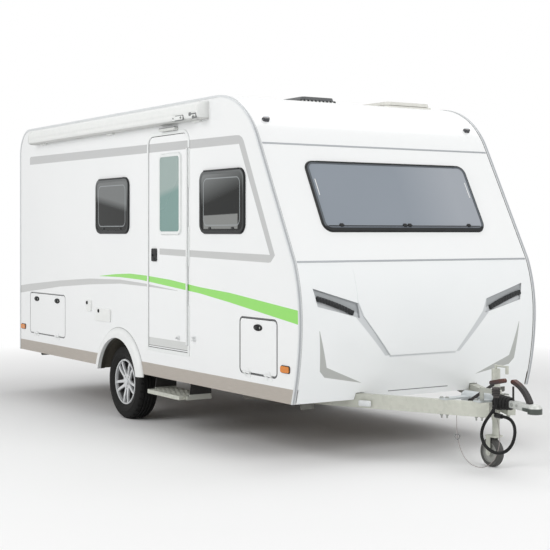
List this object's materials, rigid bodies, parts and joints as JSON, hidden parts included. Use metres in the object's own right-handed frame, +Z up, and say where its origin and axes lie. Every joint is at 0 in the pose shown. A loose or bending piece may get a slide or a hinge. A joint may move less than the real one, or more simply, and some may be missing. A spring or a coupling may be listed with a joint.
{
  "type": "travel caravan",
  "caption": "Travel caravan with a hinged entry door, service lockers, sliding step, roof hatch and a drawbar with ball coupling and swivelling jockey wheel.",
  "frame": {"origin": "middle of the overall length and width on the ground", "axes": "+X to the coupling, +Y to the left side, +Z up"},
  "size_m": [6.34, 2.3415, 2.737],
  "materials": {
    "body_white": "glossy cool white panel",
    "moulding_white": "glossy white moulding",
    "trim_grey": "satin aluminium",
    "skirt_grey": "pale grey coated aluminium",
    "frame_black": "matt black rubber and plastic",
    "glazing": "tinted acrylic",
    "door_glazing": "frosted acrylic",
    "blind_grey": "pleated blind",
    "tyre": "road tyre rubber",
    "alloy": "silver alloy",
    "cast_iron": "cast drum",
    "galvanised": "galvanised steel",
    "hitch_black": "black paint",
    "hitch_silver": "zinc plated steel",
    "rubber": "black rubber",
    "lamp_amber": "amber lens",
    "lamp_red": "red lens",
    "lamp_dark": "dark lens",
    "smoked": "smoked cover",
    "cream": "cream plastic",
    "floor_board": "coated floor board",
    "furniture": "light wood board",
    "wire_red": "coated steel wire",
    "white_plastic": "white plastic"
  },
  "bodies": {
    "caravan": {"awning_case": "white_plastic", "axle_beam": "galvanised", "breakaway_wire": "wire_red", "cabin_furniture": "furniture", "chassis_rails": "galvanised", "corner_steadies": "galvanised", "corner_trims": "trim_grey", "coupling_head": "hitch_silver", "cross_members": "galvanised", "door_frame": "white_plastic", "drawbar": "galvanised", "floor_panel": "floor_board", "front_lamps": "lamp_dark", "front_moulding": "moulding_white", "front_wall": "body_white", "hinge_bases": "white_plastic", "hitch_bellows": "rubber", "hitch_housing": "hitch_black", "hitch_levers": "hitch_black", "jockey_clamp": "galvanised", "jockey_tube": "galvanised", "marker_lamps": "lamp_amber", "porch_lamp": "smoked", "rear_wall": "body_white", "roof_hatch_frame": "cream", "roof_panel": "body_white", "roof_vent": "smoked", "service_covers": "white_plastic", "side_skirts": "skirt_grey", "step_guides": "galvanised", "tail_lamps": "lamp_red", "tail_panel": "moulding_white", "tow_cable": "rubber", "tow_plug": "rubber", "trailing_arms": "galvanised", "wall_left": "body_white", "wall_right": "body_white", "wheel_arches": "moulding_white", "wheel_boxes": "frame_black", "window_blinds": "blind_grey", "window_frames": "frame_black", "window_panes": "glazing"},
    "wheel_right": {"tyre_right": "tyre", "rim_right": "alloy", "brake_drum_right": "cast_iron"},
    "wheel_left": {"tyre_left": "tyre", "rim_left": "alloy", "brake_drum_left": "cast_iron"},
    "jockey_fork": {"jockey_fork": "galvanised"},
    "jockey_wheel": {"jockey_wheel": "rubber"},
    "entry_door": {"entry_door": "body_white", "door_window_frame": "frame_black", "door_window_pane": "door_glazing", "door_hinge_leaf": "white_plastic", "door_handle": "frame_black"},
    "locker_front": {"locker_door_front": "body_white"},
    "locker_rear": {"locker_door_rear": "body_white"},
    "step": {"step_tread": "galvanised"},
    "roof_hatch": {"roof_hatch_lid": "cream"}
  },
  "joints": [
    {"name": "wheel_right_spin", "type": "hinge", "parent": "caravan", "child": "wheel_right", "pos_m": [-0.81298, -0.9685, 0.32], "axis": [0, 1, 0], "continuous": true},
    {"name": "wheel_left_spin", "type": "hinge", "parent": "caravan", "child": "wheel_left", "pos_m": [-0.81298, 0.9685, 0.32], "axis": [0, 1, 0], "continuous": true},
    {"name": "jockey_swivel", "type": "hinge", "parent": "caravan", "child": "jockey_fork", "pos_m": [2.65, 0.092, 0.3], "axis": [0, 0, 1], "continuous": true},
    {"name": "jockey_wheel_spin", "type": "hinge", "parent": "jockey_fork", "child": "jockey_wheel", "pos_m": [2.612, 0.092, 0.1], "axis": [0, 1, 0], "continuous": true},
    {"name": "entry_door_hinge", "type": "hinge", "parent": "caravan", "child": "entry_door", "pos_m": [0.41617, -1.111, 1.5], "axis": [0, 0, 1], "range_deg": [0, 170]},
    {"name": "locker_front_hinge", "type": "hinge", "parent": "caravan", "child": "locker_front", "pos_m": [1.461, -1.109, 0.6025], "axis": [1, 0, 0], "range_deg": [0, 160]},
    {"name": "locker_rear_hinge", "type": "hinge", "parent": "caravan", "child": "locker_rear", "pos_m": [-2.437, -1.109, 0.6225], "axis": [1, 0, 0], "range_deg": [0, 160]},
    {"name": "step_slide", "type": "slide", "parent": "caravan", "child": "step", "axis": [0, -1, 0], "range_m": [0, 0.25]},
    {"name": "roof_hatch_hinge", "type": "hinge", "parent": "caravan", "child": "roof_hatch", "pos_m": [0.3746, 0.77, 2.685], "axis": [0, -1, 0], "range_deg": [0, 50]}
  ]
}
